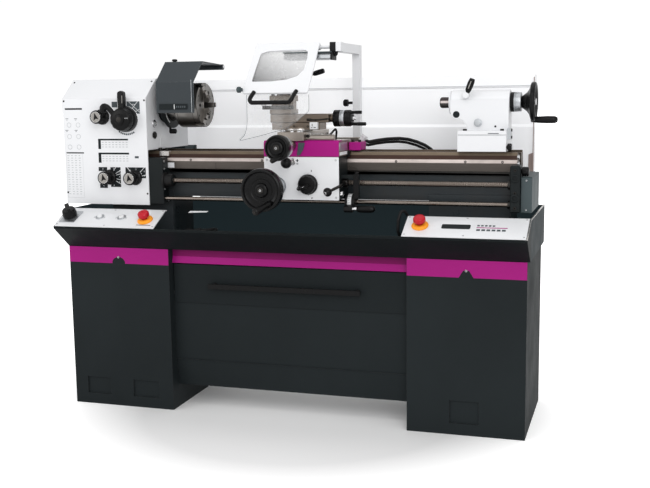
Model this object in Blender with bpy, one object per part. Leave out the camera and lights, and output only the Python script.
"""Gear-head metal lathe on two cabinets: 330 mm swing, about 1 m between centres.

Metres, +Z up, floor at z = 0.  +X runs from the headstock to the tailstock and
-Y is the operator's side.  Sizes are written in a layout frame whose x = 0 is
the left cabinet's left face and whose y = 0 is the cabinets' front plane;
piece() moves them so that the machine stands centred on the origin.
"""
import bpy
import bmesh
from math import cos, hypot, pi, radians, sin
from mathutils import Matrix, Vector

# ---------------------------------------------------------- shared dimensions
LAYOUT_ORIGIN = Vector((0.8710, 0.17331, 0.0))  # layout point on the world origin
GAP = 0.0004                       # clearance between neighbouring pieces

CABINET_HEIGHT = 0.606             # floor to tray
CABINET_DEPTH = 0.470
LEFT_CABINET_X = (0.000, 0.409)
RIGHT_CABINET_X = (1.296, 1.700)
WALL = 0.004                       # cabinet, drawer and tray walls
TRAY_X = (0.000, 1.709)
TRAY_LIP_Y, TRAY_LIP_Z = -0.100, 0.6925
TRAY_TOP = 0.7435
TRAY_FLOOR = CABINET_HEIGHT + 0.005

SPINDLE_Y, SPINDLE_Z = 0.2025, 1.123
BED_X = (0.100, 1.648)
HEAD_X = (0.0625, 0.316)           # headstock casting
HEAD_TOP = 1.2185
HEAD_BORE = 0.0312                 # radius of the hole around the spindle
COVER_LEFT = -0.030                # left edge of the headstock covers
COVER_FACE_Y = 0.050 - GAP         # where controls sit on the front cover
CHUCK_X = (0.3900, 0.486)
GUARD_HINGE_Y, GUARD_HINGE_Z = 0.3520, 1.2655

ROD_Y = 0.070                      # leadscrew and control rod
SCREW_Z, SCREW_RADIUS = 0.852, 0.0100
CONTROL_Z, CONTROL_RADIUS = 0.7855, 0.0080

ALONG_X = (1, 0, 0)
TO_FRONT = (0, -1, 0)
UPWARD = (0, 0, 1)

for old_object in list(bpy.data.objects):
    bpy.data.objects.remove(old_object, do_unlink=True)


# -------------------------------------------------------------- shape helpers
def new_object(draft):
    """Scene object from a bmesh, with its faces turned outwards."""
    bmesh.ops.recalc_face_normals(draft, faces=draft.faces[:])
    mesh = bpy.data.meshes.new("part")
    draft.to_mesh(mesh)
    draft.free()
    part = bpy.data.objects.new("part", mesh)
    bpy.context.scene.collection.objects.link(part)
    return part


def skinned(rings, closed=False):
    """Solid over rings of points; a ring of one point is a pole.  The last
    ring meets the first if closed, otherwise both ends are capped."""
    draft = bmesh.new()
    rings = [[draft.verts.new(point) for point in ring] for ring in rings]
    pairs = list(zip(rings, rings[1:]))
    if closed:
        pairs.append((rings[-1], rings[0]))
    for first, second in pairs:
        count = max(len(first), len(second))
        for i in range(count):
            j = (i + 1) % count
            if len(first) == 1:
                draft.faces.new((first[0], second[j], second[i]))
            elif len(second) == 1:
                draft.faces.new((first[i], first[j], second[0]))
            else:
                draft.faces.new((first[i], first[j], second[j], second[i]))
    if not closed:
        for end in (rings[0][::-1], rings[-1]):
            if len(end) > 1:
                draft.faces.new(end)
    return new_object(draft)


def prism(outline, axis, start, end):
    """Polygon extruded along an axis: points are (y,z), (x,z) or (x,y)."""
    place = {
        "X": lambda point, along: (along, point[0], point[1]),
        "Y": lambda point, along: (point[0], along, point[1]),
        "Z": lambda point, along: (point[0], point[1], along),
    }[axis]
    return skinned([[place(point, along) for point in outline] for along in (start, end)])


def box(x0, x1, y0, y1, z0, z1, bevel=0.0):
    draft = bmesh.new()
    bmesh.ops.create_cube(draft, size=1.0)
    bmesh.ops.scale(draft, vec=(x1 - x0, y1 - y0, z1 - z0), verts=draft.verts[:])
    centre = ((x0 + x1) / 2, (y0 + y1) / 2, (z0 + z1) / 2)
    bmesh.ops.translate(draft, vec=centre, verts=draft.verts[:])
    if bevel:
        bmesh.ops.bevel(draft, geom=draft.edges[:], offset=bevel, segments=1, affect="EDGES")
    return new_object(draft)


def square_to(vector, direction):
    """Unit vector: the part of a vector at right angles to a direction."""
    return (vector - direction * vector.dot(direction)).normalized()


def turned(profile, start, axis, sides, bore=0.0):
    """Solid of revolution.  profile is (distance along the axis, radius) from
    one end to the other; bore is the radius of a through hole."""
    forward = Vector(axis).normalized()
    across = square_to(Vector(ALONG_X if abs(forward.x) < 0.9 else UPWARD), forward)
    frame = Matrix((across, forward.cross(across), forward)).transposed().to_4x4()
    frame = Matrix.Translation(Vector(start)) @ frame
    if bore:
        profile = [(profile[0][0], bore), *profile, (profile[-1][0], bore)]
    rings = []
    for along, radius in profile:
        if radius < 1e-6:
            rings.append([frame @ Vector((0, 0, along))])
        else:
            angles = [2 * pi * i / sides for i in range(sides)]
            rings.append([frame @ Vector((radius * cos(angle), radius * sin(angle), along))
                          for angle in angles])
    return skinned(rings, closed=bool(bore))


def disc(radius, length, start, axis, sides, bore=0.0):
    return turned([(0.0, radius), (length, radius)], start, axis, sides, bore)


def rod(start, end, radius, sides):
    start, end = Vector(start), Vector(end)
    return disc(radius, (end - start).length, start, end - start, sides)


def rod_x(x0, x1, y, z, radius, sides):
    return rod((x0, y, z), (x1, y, z), radius, sides)


def ball(centre, radius, sides, steps):
    angles = [pi * i / steps for i in range(steps + 1)]
    profile = [(-radius * cos(angle), radius * sin(angle)) for angle in angles]
    return turned(profile, centre, UPWARD, sides)


def pipe(path, radius, sides=10):
    """Round bar bent along a path, with mitred corners."""
    path = [Vector(point) for point in path]
    legs = [(end - start).normalized() for start, end in zip(path, path[1:])]
    across = square_to(Vector(UPWARD if abs(legs[0].z) < 0.9 else ALONG_X), legs[0])
    rings = []
    for point, before, after in zip(path, legs[:1] + legs, legs + legs[-1:]):
        mitre = (before + after).normalized()
        across = square_to(across, before)
        third = before.cross(across)
        ring = []
        for i in range(sides):
            angle = 2 * pi * i / sides
            offset = across * (radius * cos(angle)) + third * (radius * sin(angle))
            slide = -offset.dot(mitre) / before.dot(mitre)
            ring.append(point + offset + before * slide)
        rings.append(ring)
        across = square_to(across, after)
    return skinned(rings)


def folded(face, thickness):
    """Closed outline of a folded sheet: face is one side of it, and the
    thickness is laid to the right of the direction of travel."""
    normals = []
    for (u0, v0), (u1, v1) in zip(face, face[1:]):
        length = hypot(u1 - u0, v1 - v0)
        normals.append(((v1 - v0) / length, (u0 - u1) / length))
    other = []
    for point, before, after in zip(face, normals[:1] + normals, normals + normals[-1:]):
        u, v = before[0] + after[0], before[1] + after[1]
        reach = thickness * 2 / (u * u + v * v)
        other.append((point[0] + u * reach, point[1] + v * reach))
    return list(face) + other[::-1]


def combine(base, others, operation):
    """Boolean of base with each of the others, kept as one mesh."""
    for other in others:
        modifier = base.modifiers.new("boolean", "BOOLEAN")
        modifier.operation = operation
        modifier.solver = "EXACT"
        modifier.object = other
        depsgraph = bpy.context.evaluated_depsgraph_get()
        mesh = bpy.data.meshes.new_from_object(base.evaluated_get(depsgraph))
        base.modifiers.clear()
        base.data = mesh
        bpy.data.objects.remove(other, do_unlink=True)
    return base


def join(base, *others):
    return combine(base, others, "UNION")


def cut(base, *others):
    return combine(base, others, "DIFFERENCE")


# ------------------------------------------------------ materials and finish
# name: (base colour), roughness, metallic
LOOKS = {
    "dark_paint": ((0.024, 0.030, 0.032), 0.45, 0.0),
    "magenta_paint": ((0.330, 0.012, 0.190), 0.35, 0.0),
    "white_paint": ((0.760, 0.765, 0.780), 0.35, 0.0),
    "grey_paint": ((0.085, 0.095, 0.100), 0.40, 0.0),
    "guard_paint": ((0.060, 0.070, 0.078), 0.42, 0.0),
    "ground_steel": ((0.430, 0.390, 0.350), 0.30, 1.0),
    "bright_steel": ((0.700, 0.690, 0.680), 0.22, 1.0),
    "chuck_steel": ((0.260, 0.235, 0.210), 0.32, 1.0),
    "black_plastic": ((0.010, 0.010, 0.011), 0.28, 0.0),
    "red_plastic": ((0.480, 0.010, 0.020), 0.30, 0.0),
    "white_plastic": ((0.720, 0.730, 0.740), 0.35, 0.0),
    "clear_plastic": ((0.900, 0.910, 0.920), 0.08, 0.0),
}


def make_material(name, colour, roughness, metallic):
    material = bpy.data.materials.new(name)
    material.use_nodes = True
    shader = material.node_tree.nodes["Principled BSDF"]
    shader.inputs["Base Color"].default_value = (*colour, 1.0)
    shader.inputs["Roughness"].default_value = roughness
    shader.inputs["Metallic"].default_value = metallic
    return material


MATERIALS = {name: make_material(name, *look) for name, look in LOOKS.items()}


def piece(name, part, material, origin=LAYOUT_ORIGIN):
    """Names a finished part, gives it its material and its own origin (a
    point on the joint's axis for a piece that moves)."""
    origin = Vector(origin)
    part.name = name
    part.data.name = name
    part.data.transform(Matrix.Translation(-origin))
    part.location = origin - LAYOUT_ORIGIN
    part.data.materials.clear()
    part.data.materials.append(MATERIALS[material])
    part.data.shade_smooth()
    part.data.set_sharp_from_angle(angle=radians(35))


# ------------------------------------------------------------------- cabinets
def cabinet(name, x0, x1, openings):
    """Closed sheet-metal shell; openings in its front are x0, x1, z0, z1."""
    shell = box(x0, x1, 0.0, CABINET_DEPTH, 0.0, CABINET_HEIGHT)
    cut(shell, box(x0 + WALL, x1 - WALL, WALL, CABINET_DEPTH - WALL, WALL, CABINET_HEIGHT - WALL))
    for left, right, bottom, top in openings:
        cut(shell, box(left, right, -0.02, 0.02, bottom, top))
    piece(name, shell, "dark_paint")


cabinet("left_cabinet", *LEFT_CABINET_X,
        [(0.052, 0.150, 0.040, 0.105), (0.245, 0.352, 0.040, 0.105)])
cabinet("right_cabinet", *RIGHT_CABINET_X, [(1.444, 1.545, 0.040, 0.120)])

# fixed panel between the cabinets: folded back at its foot
BETWEEN_X = (LEFT_CABINET_X[1] + GAP, RIGHT_CABINET_X[0] - GAP)
PANEL_FACE = [(0.060, 0.085), (0.038, 0.190), (0.038, 0.4395)]        # y, z
piece("center_panel", prism(folded(PANEL_FACE, 0.003), "X", *BETWEEN_X), "dark_paint")

# chip drawer above the panel, open at the top
DRAWER_X = (LEFT_CABINET_X[1] + 0.003, RIGHT_CABINET_X[0] - 0.003)
DRAWER_Y = (0.036, 0.430)
DRAWER_Z = (0.4415, 0.5485)
drawer = box(*DRAWER_X, *DRAWER_Y, *DRAWER_Z)
cut(drawer, box(DRAWER_X[0] + WALL, DRAWER_X[1] - WALL, DRAWER_Y[0] + WALL, DRAWER_Y[1] - WALL,
                DRAWER_Z[0] + WALL, 0.600))
piece("chip_drawer", drawer, "dark_paint", (0.85, DRAWER_Y[0], 0.495))

HANDLE_X = (0.575, 1.115)
HANDLE_Y = (0.012, 0.0355)         # grip and feet
HANDLE_Z = 0.497
handle = pipe([(HANDLE_X[0], HANDLE_Y[1], HANDLE_Z), (HANDLE_X[0], HANDLE_Y[0], HANDLE_Z),
               (HANDLE_X[1], HANDLE_Y[0], HANDLE_Z), (HANDLE_X[1], HANDLE_Y[1], HANDLE_Z)], 0.008)
piece("drawer_handle", handle, "black_plastic", (0.85, DRAWER_Y[0], HANDLE_Z))

# ------------------------------------------------------------------ chip tray
# one long trough over both cabinets, with an apron strip above the drawer
TRAY_BACK_Y = 0.478
TRAY_LIP_INSIDE = TRAY_LIP_Y + 0.0030
tray = prism([(TRAY_LIP_Y, TRAY_LIP_Z - 0.007), (0.0, CABINET_HEIGHT + GAP),
              (TRAY_BACK_Y, CABINET_HEIGHT + GAP), (TRAY_BACK_Y, TRAY_TOP),
              (0.0, TRAY_TOP), (TRAY_LIP_Y, TRAY_LIP_Z)], "X", *TRAY_X)
cut(tray, prism([(TRAY_LIP_INSIDE, TRAY_LIP_Z - 0.006), (0.002, TRAY_FLOOR),
                 (TRAY_BACK_Y - WALL, TRAY_FLOOR), (TRAY_BACK_Y - WALL, 0.80),
                 (TRAY_LIP_INSIDE, 0.80)], "X", TRAY_X[0] + WALL, TRAY_X[1] - WALL))
join(tray, box(*BETWEEN_X, DRAWER_Y[0], DRAWER_Y[0] + WALL, 0.552, CABINET_HEIGHT + 0.003))
piece("chip_tray", tray, "dark_paint")

# ------------------------------------------------- consoles and push buttons
CONSOLE_THICKNESS = 0.0035
CONSOLE_TOP_Z = TRAY_TOP + 0.0015             # underside, at y = 0
CONSOLE_FRONT_Y = TRAY_LIP_Y - 0.001
CONSOLE_FRONT_Z = TRAY_LIP_Z + 0.0015
CONSOLE_SLOPE = (CONSOLE_TOP_Z - CONSOLE_FRONT_Z) / -CONSOLE_FRONT_Y
UP_SLOPE = Vector((0.0, 1.0, CONSOLE_SLOPE)).normalized()
CONSOLE_OUT = Vector((0.0, -UP_SLOPE.z, UP_SLOPE.y))

# distance out of the console, radius
SWITCH_PROFILE = [(0.0004, 0.016), (0.010, 0.016), (0.010, 0.026), (0.036, 0.024),
                  (0.038, 0.020)]
STOP_PROFILE = [(-0.0030, 0.010), (0.020, 0.010), (0.020, 0.0195), (0.031, 0.0195),
                (0.036, 0.013)]
BUTTON_PROFILE = [(-0.0030, 0.010), (0.006, 0.010), (0.007, 0.009)]
# name, x, y, profile, material, sides
MAIN_SWITCH = ("main_switch_knob", 0.040, -0.046, SWITCH_PROFILE, "black_plastic", 20)
PUSH_BUTTONS = (
    ("estop_button_left", 0.3525, -0.0600, STOP_PROFILE, "red_plastic", 20),
    ("estop_button_right", 1.353, -0.050, STOP_PROFILE, "red_plastic", 20),
    ("coolant_button", 0.163, -0.047, BUTTON_PROFILE, "white_plastic", 16),
    ("light_button", 0.251, -0.047, BUTTON_PROFILE, "white_plastic", 16),
)


def on_console(x, y, height=0.0):
    """Point at a height above the console's outer face."""
    z = CONSOLE_FRONT_Z + (y - CONSOLE_FRONT_Y) * CONSOLE_SLOPE
    return Vector((x, y, z + CONSOLE_THICKNESS / CONSOLE_OUT.z)) + CONSOLE_OUT * height


def console(name, x0, x1):
    """Sloping panel that closes the tray over a cabinet, with a hole under
    each push button."""
    face = [(0.012, CONSOLE_TOP_Z), (0.0, CONSOLE_TOP_Z), (CONSOLE_FRONT_Y, CONSOLE_FRONT_Z)]
    panel = prism(folded(face, CONSOLE_THICKNESS), "X", x0, x1)
    for _, x, y, *_ in PUSH_BUTTONS:
        if x0 < x < x1:
            cut(panel, rod(on_console(x, y, -0.02), on_console(x, y, 0.02), 0.0106, 20))
    piece(name, panel, "white_paint")


console("left_console_panel", 0.0045, 0.4045)
console("right_console_panel", 1.3015, 1.7045)
for name, x, y, profile, material, sides in (MAIN_SWITCH, *PUSH_BUTTONS):
    seat = on_console(x, y)
    piece(name, turned(profile, seat, CONSOLE_OUT, sides), material, seat)

# ------------------------------------------------------------------------ bed
# front rail, y and z: flange, V way and inner flat way; the rear rail mirrors it
RAIL = [
    (0.107, 0.893), (0.107, 0.915), (0.1125, 0.933), (0.117, 0.937), (0.127, 0.957),
    (0.137, 0.939), (0.146, 0.939), (0.146, 0.950), (0.166, 0.950), (0.166, 0.926),
    (0.154, 0.906), (0.154, 0.790), (0.120, 0.790), (0.120, 0.893),
]
BED_MIDDLE_Y = 0.2005
WEB_LEFTS = (0.112, 0.36, 0.68, 1.00, 1.32, 1.60)
FEET_X = ((0.130, 0.380), (1.350, 1.630))
bed = prism(RAIL, "X", *BED_X)
join(bed, prism([(2 * BED_MIDDLE_Y - y, z) for y, z in RAIL], "X", *BED_X))
for left in WEB_LEFTS:
    join(bed, box(left, left + 0.030, 0.145, 0.256, 0.800, 0.930))
for foot_x in FEET_X:
    join(bed, box(*foot_x, 0.112, 0.289, TRAY_FLOOR + 0.0005, 0.812))
piece("bed", bed, "ground_steel")

piece("rack", box(0.3735, 1.632, 0.1075, 0.1195, 0.8795, 0.8925), "ground_steel")


# ------------------------------------------------------------------ headstock
def on_spindle(x):
    """Point on the spindle axis."""
    return (x, SPINDLE_Y, SPINDLE_Z)


# y, z of the sloped top that the casting and the end cover share
HEAD_CROWN = [(0.0545, 1.150), (0.1400, HEAD_TOP), (0.400, HEAD_TOP)]
HEAD_CAVITY = [(0.0745, 0.985), (0.0745, 1.141), (0.128, 1.195), (0.380, 1.195), (0.380, 0.985)]
head = prism([(0.0545, 0.9625), *HEAD_CROWN, (0.400, 0.9625)], "X", *HEAD_X)
cut(head, prism(HEAD_CAVITY, "X", HEAD_X[0] - 0.02, HEAD_X[1] - 0.022))
cut(head, rod(on_spindle(0.25), on_spindle(0.35), HEAD_BORE, 32))
# lug and pin that carry the chuck guard
join(head, prism([(GUARD_HINGE_Y - 0.022, HEAD_TOP - 0.01),
                  (GUARD_HINGE_Y - 0.012, GUARD_HINGE_Z + 0.012),
                  (GUARD_HINGE_Y + 0.012, GUARD_HINGE_Z + 0.012),
                  (GUARD_HINGE_Y + 0.022, HEAD_TOP - 0.01)], "X", 0.290, 0.3155))
join(head, rod_x(0.300, 0.5010, GUARD_HINGE_Y, GUARD_HINGE_Z, 0.0060, 16))
piece("headstock_housing", head, "white_paint")

FRONT_COVER_BACK = [(0.054, 0.761), (0.054, 1.1503), (0.1398, 1.2190), (0.165, 1.2190)]  # y, z
front_cover = prism(folded(FRONT_COVER_BACK, -0.0040), "X", COVER_LEFT, HEAD_X[1])
piece("headstock_front_cover", front_cover, "white_paint")

# end cover, y and z: outside and inside outlines, open to the right
END_OUTSIDE = [(0.0545, 0.765), *HEAD_CROWN, (0.580, 1.000), (0.580, 0.800), (0.545, 0.765)]
END_INSIDE = [
    (0.0575, 0.768), (0.0575, 1.1488), (0.1412, 1.2155), (0.3986, 1.2155),
    (0.577, 0.9989), (0.577, 0.8012), (0.5438, 0.768),
]
end_cover = prism(END_OUTSIDE, "X", COVER_LEFT, 0.0600)
cut(end_cover, prism(END_INSIDE, "X", COVER_LEFT + 0.003, 0.10))
piece("end_gear_cover", end_cover, "white_paint")


def cut_rod_holes(part, x0, x1):
    """Running holes for the leadscrew and the control rod."""
    cut(part, rod_x(x0, x1, ROD_Y, SCREW_Z, SCREW_RADIUS + GAP, 20))
    cut(part, rod_x(x0, x1, ROD_Y, CONTROL_Z, CONTROL_RADIUS + GAP, 20))


# quick-change feed gearbox below the headstock, in front of the bed
gearbox = box(HEAD_X[0], 0.3722, 0.0545, 0.0980, 0.766, 0.9350)
join(gearbox, disc(0.0185, 0.040, (0.3700, ROD_Y, SCREW_Z), ALONG_X, 24))
cut_rod_holes(gearbox, 0.3600, 0.42)
piece("feed_gearbox", gearbox, "dark_paint")

BEARING_RING = [(0.3390, 0.0830), (0.3410, 0.0850), (0.3510, 0.0850), (0.3530, 0.0830)]  # x, radius
bearing = disc(0.0640, 0.0277, on_spindle(HEAD_X[1] + 0.0003), ALONG_X, 40, bore=HEAD_BORE)
join(bearing, turned(BEARING_RING, on_spindle(0), ALONG_X, 40, bore=0.0575))
piece("bearing_cover", bearing, "dark_paint")

# ------------------------------------------------- motor, pulleys and spindle
MOTOR_Y, MOTOR_Z = 0.500, 0.900    # shaft axis, behind the headstock
# distance along X, radius
MOTOR_PROFILE = [(0, 0.050), (0.008, 0.068), (0.215, 0.068), (0.220, 0.060), (0.240, 0.055)]
motor = turned(MOTOR_PROFILE, (0.0700, MOTOR_Y, MOTOR_Z), ALONG_X, 28)
join(motor, box(0.120, 0.250, 0.3020, 0.470, 0.880, 0.920))
join(motor, box(0.1195, 0.2505, 0.3015, 0.340, 0.840, 0.955))
piece("motor", motor, "grey_paint")

FLANGE_X = (0.3447, CHUCK_X[0] - 0.0003)
SPINDLE_PROFILE = [(0.0, 0.0300), (FLANGE_X[0], 0.0300), (FLANGE_X[0], 0.055),
                   (FLANGE_X[1], 0.055)]
spindle = turned(SPINDLE_PROFILE, on_spindle(0.0), ALONG_X, 32, bore=0.019)
piece("spindle", spindle, "bright_steel", on_spindle(0.2))

PULLEY_X = (0.004, 0.045)
pulley = turned([(x, 0.062) for x in PULLEY_X], on_spindle(0.0), ALONG_X, 32, bore=0.0304)
piece("input_pulley", pulley, "grey_paint", on_spindle(0.02))
MOTOR_PULLEY_PROFILE = [(PULLEY_X[0], 0.040), (PULLEY_X[1], 0.040), (PULLEY_X[1], 0.012),
                        (0.0695, 0.012)]
motor_pulley = turned(MOTOR_PULLEY_PROFILE, (0.0, MOTOR_Y, MOTOR_Z), ALONG_X, 28)
piece("motor_pulley", motor_pulley, "grey_paint", (0.02, MOTOR_Y, MOTOR_Z))

# ---------------------------------------------------------- chuck and its jaws
CHUCK_RADIUS = 0.082
CHUCK_BACK, CHUCK_FACE = CHUCK_X
JAW_ANGLES = (0.0, 120.0, 240.0)   # from +Y towards +Z
JAW_INNER, JAW_LENGTH, JAW_WIDTH = 0.018, 0.060, 0.018
JAW_STEP = 0.020                   # radial length of a step
SLOT_DEPTH = 0.030


def turn_about_spindle(part, degrees):
    """Carries a part built around the X axis to an angle on the spindle."""
    turn = Matrix.Rotation(radians(degrees), 4, "X")
    part.data.transform(Matrix.Translation(on_spindle(0)) @ turn)
    return part


chuck = turned([(CHUCK_BACK, 0.078), (CHUCK_BACK + 0.004, CHUCK_RADIUS),
                (CHUCK_FACE - 0.003, CHUCK_RADIUS), (CHUCK_FACE, CHUCK_RADIUS - 0.003)],
               on_spindle(0), ALONG_X, 48, bore=0.020)
for angle in JAW_ANGLES:
    slot = box(CHUCK_FACE - SLOT_DEPTH, CHUCK_FACE + 0.02, 0.0, 0.110,
               -JAW_WIDTH / 2 - GAP, JAW_WIDTH / 2 + GAP)
    cut(chuck, turn_about_spindle(slot, angle))
piece("chuck_body", chuck, "chuck_steel", on_spindle(CHUCK_FACE))


def jaw(name, angle):
    """Stepped jaw: its foot runs in the slot, three steps stand in front."""
    foot_x = CHUCK_FACE - SLOT_DEPTH + GAP
    outline = [(foot_x, JAW_INNER)]
    inner = JAW_INNER
    for height in (0.022, 0.015, 0.008):
        outline += [(CHUCK_FACE + height, inner), (CHUCK_FACE + height, inner + JAW_STEP)]
        inner += JAW_STEP
    outline.append((foot_x, JAW_INNER + JAW_LENGTH))
    part = turn_about_spindle(prism(outline, "Z", -JAW_WIDTH / 2, JAW_WIDTH / 2), angle)
    origin = (CHUCK_FACE, SPINDLE_Y + cos(radians(angle)) * JAW_INNER,
              SPINDLE_Z + sin(radians(angle)) * JAW_INNER)
    piece(name, part, "chuck_steel", origin)


for number, angle in enumerate(JAW_ANGLES, 1):
    jaw("chuck_jaw_%d" % number, angle)

# guard over the chuck: a folded sheet on a hinge barrel behind the chuck
GUARD_FACE = [(GUARD_HINGE_Y - 0.006, 1.2560), (GUARD_HINGE_Y - 0.006, 1.2740),
              (0.155, 1.2830), (0.070, 1.2080), (0.070, 1.0970)]      # y, z
guard = prism(folded(GUARD_FACE, -0.0030), "X", 0.3480, 0.4980)
join(guard, disc(0.0105, 0.147, (0.3495, GUARD_HINGE_Y, GUARD_HINGE_Z), ALONG_X, 20, bore=0.0066))
piece("chuck_guard", guard, "guard_paint", (0.425, GUARD_HINGE_Y, GUARD_HINGE_Z))

# --------------------------------------------------------- headstock controls
HUB_X, HUB_Z = 0.236, SPINDLE_Z - 0.047
HUB = (HUB_X, COVER_FACE_Y, HUB_Z)

# inner hub with the upright lever
speed_lever = disc(0.046, 0.026, HUB, TO_FRONT, 36)
join(speed_lever, box(HUB_X - 0.0150, HUB_X + 0.0130, COVER_FACE_Y - 0.0255,
                      COVER_FACE_Y - 0.006, HUB_Z + 0.020, HUB_Z + 0.115, bevel=0.006))
piece("speed_lever", speed_lever, "black_plastic", HUB)

# outer hub with the elbow lever; distance out of the cover, radius
RANGE_HUB_PROFILE = [(0.0266, 0.043), (0.054, 0.041), (0.060, 0.034), (0.062, 0.012)]
range_lever = turned(RANGE_HUB_PROFILE, HUB, TO_FRONT, 36)
join(range_lever, pipe([(HUB_X - 0.020, COVER_FACE_Y - 0.046, HUB_Z + 0.012),
                        (HUB_X - 0.062, COVER_FACE_Y - 0.050, HUB_Z + 0.050),
                        (HUB_X - 0.067, COVER_FACE_Y - 0.050, HUB_Z + 0.034)], 0.0115, 12))
piece("range_lever", range_lever, "black_plastic", (HUB_X, COVER_FACE_Y - 0.03, HUB_Z))

# name, x, z, radius
FACE_KNOBS = (
    ("feed_direction_knob", 0.136, 1.0855, 0.0270),
    ("gearbox_knob_left", 0.157, 0.8625, 0.0260),
    ("gearbox_knob_right", 0.2615, 0.8620, 0.0260),
)
for name, x, z, radius in FACE_KNOBS:
    profile = [(0.0, radius + 0.001), (0.010, radius + 0.001), (0.012, radius - 0.003),
               (0.046, radius - 0.003), (0.050, radius - 0.006)]
    seat = (x, COVER_FACE_Y, z)
    piece(name, turned(profile, seat, TO_FRONT, 28), "black_plastic", seat)

# -------------------------------------------------- leadscrew and control rod
bracket = box(1.6335, 1.6660, 0.045, 0.1065, 0.762, 0.918, bevel=0.003)
cut_rod_holes(bracket, 1.60, 1.70)
piece("leadscrew_bracket", bracket, "dark_paint")
for name, z, radius in (("leadscrew", SCREW_Z, SCREW_RADIUS),
                        ("control_rod", CONTROL_Z, CONTROL_RADIUS)):
    piece(name, rod_x(0.3610, 1.6655, ROD_Y, z, radius, 20), "bright_steel", (1.0, ROD_Y, z))
piece("bed_end_box", box(1.6670, 1.7040, 0.062, 0.300, 0.760, 0.878, bevel=0.002), "grey_paint")

# --------------------------------------------------------------- splash guard
SPLASH_X = (0.3300, 1.6700)
SPLASH_SHEET = 0.0030
SPLASH_FACE = [
    (0.4900, 1.2180), (0.4520, 1.2180), (0.4520, 1.1760), (0.4580, 1.1720),
    (0.4580, 1.0400), (0.4500, 1.0300), (0.4500, 0.9000), (0.4690, 0.7495),
]                                  # y, z
SPLASH_END = [
    (0.4535, 1.2165), (0.4900, 1.2165), (0.4900, 0.7510), (0.4700, 0.7510), (0.4515, 0.9000),
    (0.4515, 1.0295), (0.4595, 1.0395), (0.4595, 1.1725), (0.4535, 1.1765),
]                                  # y, z
splash = prism(folded(SPLASH_FACE, -SPLASH_SHEET), "X", *SPLASH_X)
for left in (SPLASH_X[0], SPLASH_X[1] - SPLASH_SHEET):
    join(splash, prism(SPLASH_END, "X", left, left + SPLASH_SHEET))
join(splash, box(0.2870, 0.3315, 0.4515, 0.4545, 0.9620, 1.2150))
piece("splash_guard", splash, "white_paint")

# ----------------------------------------------------------- apron and saddle
APRON_LEFT, APRON_RIGHT = 0.790, 1.062
APRON_BOTTOM, APRON_TOP = 0.797, 0.946
SADDLE_TOP = 1.000
PUSH_KNOB_X, PUSH_KNOB_Z = 0.8960, 0.9285
CROSS_SCREW_X, CROSS_SCREW_Z = 0.896, 0.984

apron = box(APRON_LEFT, APRON_RIGHT, 0.0030, 0.104, APRON_BOTTOM + 0.002, APRON_TOP - 0.001)
join(apron, box(APRON_LEFT + 0.0005, APRON_RIGHT - 0.0005, 0.0, 0.006,
                APRON_BOTTOM, APRON_TOP - 0.0005))
# small bracket with the thread dial's stem on the right side
join(apron, box(APRON_RIGHT - 0.01, 1.112, 0.0300, 0.0440, 0.8710, 0.8820))
join(apron, box(1.104, 1.122, 0.0285, 0.0470, 0.8020, 0.8840, bevel=0.003))
cut(apron, rod_x(0.70, 1.10, ROD_Y, SCREW_Z, 0.0120, 20))
cut(apron, rod((PUSH_KNOB_X, -0.02, PUSH_KNOB_Z), (PUSH_KNOB_X, 0.0500, PUSH_KNOB_Z),
               0.0076, 20))
piece("apron", apron, "dark_paint")

# saddle, y and z: shelf over the apron, slab on the ways, keeper strip at the rear
SADDLE_OUTLINE = [
    (0.0, 0.9465), (0.0, 0.994), (0.006, SADDLE_TOP), (0.300, SADDLE_TOP), (0.300, 0.9400),
    (0.2960, 0.9400), (0.2960, 0.9590), (0.1060, 0.9590), (0.1040, 0.9465),
]
saddle = prism(SADDLE_OUTLINE, "X", APRON_LEFT, APRON_RIGHT)
for notch_x in ((APRON_LEFT - 0.01, 0.822), (0.962, APRON_RIGHT + 0.01)):
    cut(saddle, box(*notch_x, 0.150, 0.252, 0.90, 1.10))
join(saddle, rod((CROSS_SCREW_X, 0.004, CROSS_SCREW_Z), (CROSS_SCREW_X, -0.064, CROSS_SCREW_Z),
                 0.0150, 24))
join(saddle, rod_x(0.944, 1.040, 0.022, SADDLE_TOP + 0.009, 0.0120, 20))
piece("saddle", saddle, "magenta_paint")

# ---------------------------------------------------------------- chip shield
SHIELD_HINGE_Y, SHIELD_HINGE_Z = 0.085, 1.318
SHIELD_ORIGIN = (0.85, SHIELD_HINGE_Y, SHIELD_HINGE_Z)

# post on a block behind the saddle, with an arm forward to the hinge pin
post = box(1.0150, 1.0660, 0.3005, 0.3450, 0.9350, 0.9670)
join(post, box(1.0250, 1.0530, 0.3080, 0.3360, 0.9660, 1.3320))
join(post, box(1.0255, 1.0525, 0.0990, 0.3355, 1.3000, 1.3318))
join(post, box(1.0130, 1.0526, SHIELD_HINGE_Y - 0.016, 0.1000,
               SHIELD_HINGE_Z - 0.0155, SHIELD_HINGE_Z + 0.0155))
join(post, rod_x(1.020, 0.9620, SHIELD_HINGE_Y, SHIELD_HINGE_Z, 0.0055, 16))
piece("shield_post", post, "white_paint")

# the frame leans back; its directions are in y and z
FRAME_TOP = Vector((0.0800, 1.3385))
FRAME_DOWN = Vector((-0.143, -0.168)).normalized()
FRAME_BACK = Vector((-FRAME_DOWN.y, FRAME_DOWN.x))


def on_frame(down, back=0.0):
    """(y, z) of a point down the frame and behind its front face."""
    return tuple(FRAME_TOP + FRAME_DOWN * down + FRAME_BACK * back)


def frame_slab(x0, x1, top, bottom, front, back):
    return prism([on_frame(top, front), on_frame(bottom, front),
                  on_frame(bottom, back), on_frame(top, back)], "X", x0, x1)


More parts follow.
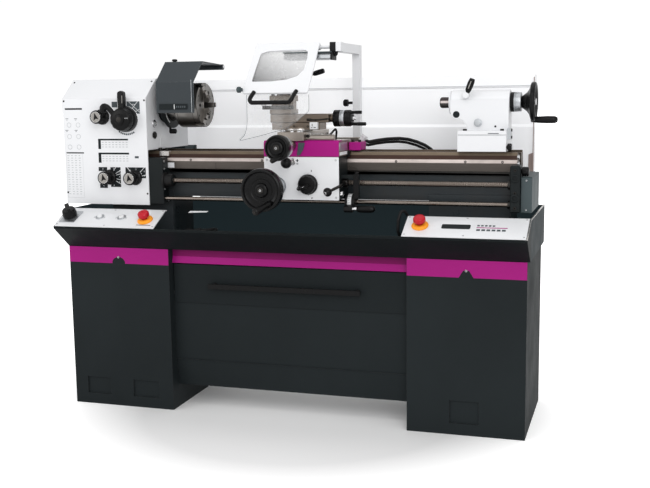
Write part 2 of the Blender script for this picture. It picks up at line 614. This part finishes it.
frame = frame_slab(0.742, 0.976, 0.005, 0.228, 0.0, 0.005)
cut(frame, frame_slab(0.764, 0.945, 0.040, 0.178, -0.02, 0.03))
barrel = disc(0.0100, 0.040, (0.9350, SHIELD_HINGE_Y, SHIELD_HINGE_Z), ALONG_X, 18, bore=0.0062)
join(barrel, prism([on_frame(0.004, 0.003), on_frame(0.020, 0.003),
                    on_frame(0.018, 0.0100), on_frame(0.006, 0.0100)], "X", 0.9355, 0.9745))
join(frame, barrel)
handle_foot = on_frame(0.216, -0.0021)
join(frame, pipe([(0.7985, *handle_foot), (0.7790, -0.0920, 1.1330),
                  (0.9260, -0.0920, 1.1330), (0.9450, *handle_foot)], 0.0065))
piece("shield_frame", frame, "white_paint", SHIELD_ORIGIN)

# clear sheet behind the frame, curling forward below it, its foot cut to a slant
low_y, low_z = on_frame(0.205, 0.0054)
DEFLECTOR_FACE = [
    on_frame(0.030, 0.0054), (low_y, low_z), (low_y + 0.004, low_z - 0.020),
    (low_y + 0.004, 1.070), (low_y - 0.004, 1.043), (low_y - 0.024, 1.022),
    (low_y - 0.070, 1.008),
]                                  # y, z
DEFLECTOR_TRIM = [
    (0.735, 0.985), (0.735, 1.0010), (0.900, 1.046), (0.985, 1.112), (1.020, 1.112),
    (1.020, 0.985),
]                                  # x, z
deflector = prism(folded(DEFLECTOR_FACE, -0.0030), "X", 0.7480, 0.9720)
cut(deflector, prism(DEFLECTOR_TRIM, "Y", -0.20, 0.02))
piece("shield_deflector", deflector, "clear_plastic", SHIELD_ORIGIN)

# --------------------------------------------------- cross slide and compound
COMPOUND_Y = 0.105                 # top slide's axis
SWIVEL_X = 0.885
POST_X = 0.830                     # tool post centre
SLIDE_END_X = 1.0060
SLIDE_SCREW_Z = 1.0740
SLIDE_HALF = 0.0400                # half width of the top slide and tool post
cross_slide = box(0.8450, 0.9400, -0.0110, 0.2850, SADDLE_TOP + 0.0005, 1.0300)
piece("cross_slide", cross_slide, "ground_steel", (SWIVEL_X, 0.1, 1.015))

swivel = (SWIVEL_X, COMPOUND_Y, 1.0305)
compound = disc(0.0500, 0.0140, swivel, UPWARD, 32)
join(compound, box(0.7980, 0.9740, COMPOUND_Y - 0.0385, COMPOUND_Y + 0.0385, 1.0355, 1.0600))
piece("compound_base", compound, "ground_steel", swivel)

slide_end = (SLIDE_END_X, COMPOUND_Y, SLIDE_SCREW_Z)
top_slide = box(0.7920, SLIDE_END_X, COMPOUND_Y - SLIDE_HALF, COMPOUND_Y + SLIDE_HALF,
                1.0605, 1.0900, bevel=0.002)
join(top_slide, turned([(-0.004, 0.0130), (0.010, 0.0130)], slide_end, ALONG_X, 20))
join(top_slide, rod((POST_X, COMPOUND_Y, 1.0850), (POST_X, COMPOUND_Y, 1.1660), 0.0090, 16))
piece("top_slide", top_slide, "ground_steel", (0.90, COMPOUND_Y, 1.0750))

# top slide's wheel: a grooved hub and two short bars along X
SLIDE_HUB_PROFILE = [
    (0.0105, 0.0290), (0.0340, 0.0290), (0.0340, 0.0280), (0.0500, 0.0280),
    (0.0500, 0.0290), (0.0700, 0.0290), (0.0760, 0.0240),
]                                  # distance from the slide's end, radius
slide_wheel = turned(SLIDE_HUB_PROFILE, slide_end, ALONG_X, 28)
for rise, tip_x, radius in ((0.020, 1.1150, 0.0060), (-0.020, 1.1300, 0.0065)):
    bar_z = SLIDE_SCREW_Z + rise
    join(slide_wheel, pipe([(1.0700, COMPOUND_Y, bar_z), (tip_x, COMPOUND_Y, bar_z)], radius))
piece("top_slide_handle", slide_wheel, "black_plastic", (1.0300, COMPOUND_Y, SLIDE_SCREW_Z))

# square tool post on the top slide's stud, grooved front and back
tool_post = box(POST_X - SLIDE_HALF, POST_X + SLIDE_HALF, COMPOUND_Y - SLIDE_HALF,
                COMPOUND_Y + SLIDE_HALF, 1.0905, 1.1550, bevel=0.002)
for offset in (-0.031, 0.031):
    groove_y = COMPOUND_Y + offset
    cut(tool_post, box(POST_X - 0.05, POST_X + 0.05, groove_y - 0.012, groove_y + 0.012,
                       1.1060, 1.1340))
cut(tool_post, rod((POST_X, COMPOUND_Y, 1.08), (POST_X, COMPOUND_Y, 1.17), 0.0096, 20))
piece("tool_post", tool_post, "ground_steel", (POST_X, COMPOUND_Y, 1.1200))

post_top = (POST_X, COMPOUND_Y, 1.1665)
clamp = turned([(0.0, 0.0150), (0.038, 0.0120), (0.048, 0.0090)], post_top, UPWARD, 20)
join(clamp, pipe([(POST_X + 0.002, COMPOUND_Y, 1.1990),
                  (POST_X + 0.112, COMPOUND_Y - 0.004, 1.2210)], 0.0050))
join(clamp, pipe([(POST_X + 0.108, COMPOUND_Y - 0.004, 1.2203),
                  (POST_X + 0.148, COMPOUND_Y - 0.006, 1.2285)], 0.0085, 12))
piece("tool_post_lever", clamp, "black_plastic", post_top)


# ---------------------------------------------------------- carriage controls
def handwheel(name, hub, radius, face_y, dial_radius, grip_start, grip_end, grip_radius):
    """Dished wheel on a shaft that comes out of the machine along -Y."""
    face = hub[1] - face_y         # distance from the hub's foot to the wheel's face
    profile = [
        (0.0, dial_radius), (0.022, dial_radius), (0.022, 0.014), (face - 0.030, 0.014),
        (face - 0.024, radius * 0.55), (face - 0.034, radius * 0.80),
        (face - 0.034, radius - 0.004), (face - 0.028, radius), (face - 0.006, radius),
        (face, radius - 0.005), (face, radius * 0.84), (face - 0.012, radius * 0.72),
        (face - 0.012, 0.022), (face - 0.002, 0.020),
    ]
    wheel = turned(profile, hub, TO_FRONT, 40)
    grip = Vector(grip_end) - Vector(grip_start)
    grip_profile = [(-0.004, grip_radius * 0.7), (0.45 * grip.length, grip_radius),
                    (grip.length, grip_radius * 1.15)]
    join(wheel, turned(grip_profile, grip_start, grip, 14))
    piece(name, wheel, "black_plastic", hub)


handwheel("carriage_handwheel", hub=(0.836, -0.0005, 0.843), radius=0.0800, face_y=-0.165,
          dial_radius=0.032, grip_start=(0.872, -0.155, 0.797),
          grip_end=(0.836, -0.226, 0.772), grip_radius=0.0125)
handwheel("cross_handwheel", hub=(CROSS_SCREW_X, -0.0645, CROSS_SCREW_Z), radius=0.0500,
          face_y=-0.168, dial_radius=0.034, grip_start=(0.917, -0.160, 0.950),
          grip_end=(0.893, -0.212, 0.938), grip_radius=0.0080)

# feed dial and push knob: distance out of the apron, radius
DIAL_X, DIAL_Z = 0.951, 0.851
DIAL_PROFILE = [(0.0, 0.0350), (0.010, 0.0350), (0.013, 0.0320), (0.026, 0.0300), (0.028, 0.0270)]
dial = turned(DIAL_PROFILE, (DIAL_X, -GAP, DIAL_Z), TO_FRONT, 36)
join(dial, pipe([(DIAL_X + 0.006, -0.026, DIAL_Z - 0.002),
                 (DIAL_X - 0.030, -0.040, DIAL_Z - 0.013)], 0.0060))
piece("feed_selector_dial", dial, "black_plastic", (DIAL_X, 0.0, DIAL_Z))

PUSH_KNOB_PROFILE = [
    (-0.0300, 0.0070), (0.052, 0.0070), (0.054, 0.0120), (0.062, 0.0170),
    (0.070, 0.0185), (0.080, 0.0165), (0.087, 0.0110), (0.089, 0.0),
]
push_knob = turned(PUSH_KNOB_PROFILE, (PUSH_KNOB_X, -GAP, PUSH_KNOB_Z), TO_FRONT, 24)
piece("feed_push_knob", push_knob, "black_plastic", (PUSH_KNOB_X, 0.0, PUSH_KNOB_Z))

# half-nut lever on the apron's right side: its arm reaches round to the front
NUT_X, NUT_Y, NUT_Z = 1.0730, 0.040, 0.8540
side_x = APRON_RIGHT + GAP
nut_lever = turned([(0.0, 0.0140), (0.020, 0.0140), (0.022, 0.0120)],
                   (side_x, NUT_Y, NUT_Z), ALONG_X, 24)
join(nut_lever, pipe([(NUT_X, NUT_Y, NUT_Z), (NUT_X, -0.0260, 0.8500),
                      (1.0300, -0.0560, 0.8310)], 0.0055))
join(nut_lever, ball((1.0270, -0.0580, 0.8300), 0.0155, 18, 10))
cut(nut_lever, box(1.05, side_x, NUT_Y - 0.03, NUT_Y + 0.03, NUT_Z - 0.03, NUT_Z + 0.03))
piece("half_nut_lever", nut_lever, "black_plastic", (NUT_X, NUT_Y, NUT_Z))

# spindle control lever: a collar on the lower rod and a grip along X
GRIP_Y, GRIP_Z = 0.0300, CONTROL_Z - 0.020
control = disc(0.0300, 0.0340, (1.0680, ROD_Y, CONTROL_Z), ALONG_X, 32, bore=0.0086)
join(control, box(1.0690, 1.1010, 0.020, 0.0520, CONTROL_Z - 0.030, CONTROL_Z - 0.008))
join(control, rod_x(1.0900, 1.1200, GRIP_Y, GRIP_Z, 0.0075, 14))
join(control, turned([(0, 0.0090), (0.010, 0.0125), (0.055, 0.0125), (0.064, 0.0085)],
                     (1.1150, GRIP_Y, GRIP_Z), ALONG_X, 18))
piece("control_lever", control, "black_plastic", (1.0850, ROD_Y, CONTROL_Z))

# ------------------------------------------------------------------ tailstock
TAIL_LEFT, TAIL_RIGHT = 1.447, 1.612
TAIL_BASE_Z = 0.9592
TAIL_NOSE_X = 1.4130
CLAMP_X, CLAMP_Y, CLAMP_Z = 1.4680, 0.1545, 1.1480     # quill clamp's hinge
CLAMP_HINGE = (CLAMP_X, CLAMP_Y, CLAMP_Z)
TAIL_OUTLINE = [
    (TAIL_NOSE_X, SPINDLE_Z - 0.030), (1.4180, SPINDLE_Z - 0.044), (1.4620, 1.0600),
    (1.4700, 1.0420), (1.4700, 1.0150), (TAIL_RIGHT, 1.0150),
    (TAIL_RIGHT, SPINDLE_Z + 0.010), (TAIL_NOSE_X, SPINDLE_Z + 0.010),
]                                  # x, z
tail = prism(TAIL_OUTLINE, "Y", 0.1600, 0.2450)
join(tail, turned([(0.0, 0.0360), (0.006, 0.0420), (0.203, 0.0420), (0.2035, 0.036)],
                  on_spindle(1.4100), ALONG_X, 36))
join(tail, box(TAIL_LEFT, TAIL_RIGHT - 0.001, 0.1120, 0.2900, TAIL_BASE_Z, 1.0290))
join(tail, disc(0.0120, 0.020, (CLAMP_X, CLAMP_Y + 0.0204, CLAMP_Z), TO_FRONT, 18))
cut(tail, rod(on_spindle(1.38), on_spindle(1.5950), 0.0194, 28))
piece("tailstock_body", tail, "white_paint", (1.53, SPINDLE_Y, TAIL_BASE_Z))

# quill with a tapered socket in its nose: x, radius
quill = turned([(1.3720, 0.0150), (1.3760, 0.0188), (1.5850, 0.0188)], on_spindle(0), ALONG_X, 28)
cut(quill, turned([(1.36, 0.0100), (1.44, 0.0080)], on_spindle(0), ALONG_X, 20))
piece("tailstock_quill", quill, "bright_steel", on_spindle(1.40))

WHEEL_X = TAIL_RIGHT + 0.0020
# distance along X, radius
TAIL_WHEEL_PROFILE = [
    (0.0, 0.0340), (0.036, 0.0340), (0.036, 0.0180), (0.046, 0.0180), (0.062, 0.0420),
    (0.066, 0.0680), (0.074, 0.0720), (0.084, 0.0700), (0.086, 0.0620), (0.080, 0.0400),
    (0.080, 0.0150),
]
TAIL_GRIP_PROFILE = [(-0.012, 0.0075), (0.0, 0.0095), (0.030, 0.0125), (0.072, 0.0125),
                     (0.078, 0.0100)]
tail_wheel = turned(TAIL_WHEEL_PROFILE, on_spindle(WHEEL_X), ALONG_X, 40)
join(tail_wheel, turned(TAIL_GRIP_PROFILE,
                        (WHEEL_X + 0.080, SPINDLE_Y - 0.006, SPINDLE_Z - 0.0600), ALONG_X, 14))
piece("tailstock_handwheel", tail_wheel, "black_plastic", on_spindle(WHEEL_X))

# quill clamp: hub, short arm and upright grip
arm_y = CLAMP_Y - 0.0080
quill_clamp = turned([(0.0, 0.0120), (0.014, 0.0120), (0.016, 0.0100)], CLAMP_HINGE, TO_FRONT, 18)
join(quill_clamp, pipe([(CLAMP_X, arm_y, CLAMP_Z),
                        (CLAMP_X + 0.0055, arm_y, CLAMP_Z + 0.0160)], 0.0060))
join(quill_clamp, turned([(0.0, 0.0070), (0.010, 0.0100), (0.040, 0.0100), (0.048, 0.0070)],
                         (CLAMP_X + 0.0045, arm_y, CLAMP_Z + 0.0120), (0.012, 0, 0.046), 14))
piece("tailstock_clamp_lever", quill_clamp, "black_plastic", CLAMP_HINGE)
